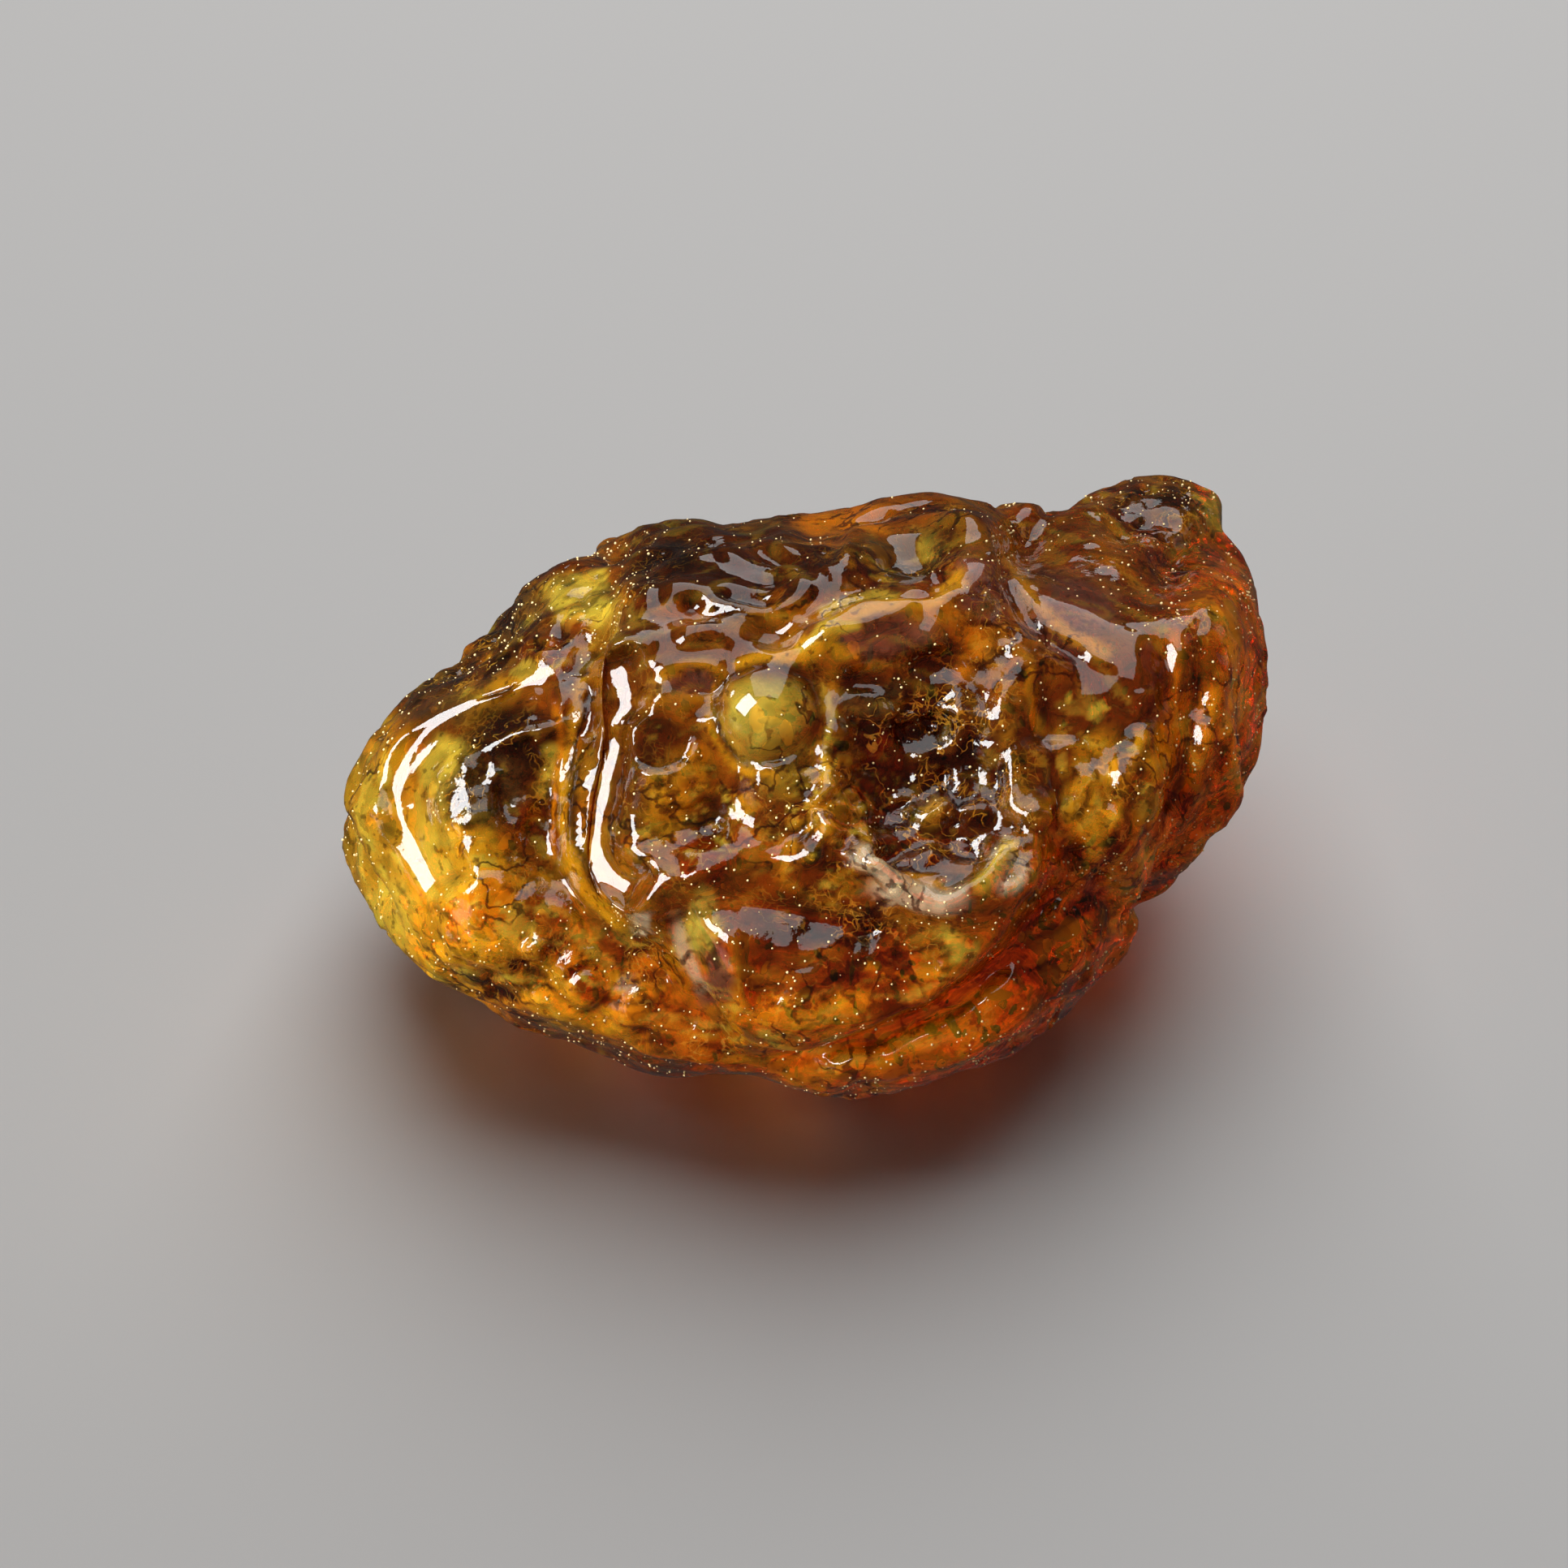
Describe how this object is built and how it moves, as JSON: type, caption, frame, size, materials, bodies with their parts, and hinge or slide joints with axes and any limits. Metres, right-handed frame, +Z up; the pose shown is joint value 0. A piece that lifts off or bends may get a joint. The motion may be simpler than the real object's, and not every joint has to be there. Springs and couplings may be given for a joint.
{
  "type": "raw amber piece",
  "caption": "Raw lump of clouded amber with folds, pits and a knob at one end, resting on a small worn flat of its underside.",
  "frame": {"origin": "under the middle of the bounding box, on the plane the lump rests on", "axes": "+X along the lump towards the end with the knob, -Y the front, +Z up"},
  "size_m": [0.0666, 0.0534, 0.0377],
  "materials": {
    "amber": "see-through brown-gold resin with dark and golden clouds, naturally glossy, uneven and pitted"
  },
  "bodies": {
    "root": {"raw_amber": "amber"}
  },
  "joints": []
}
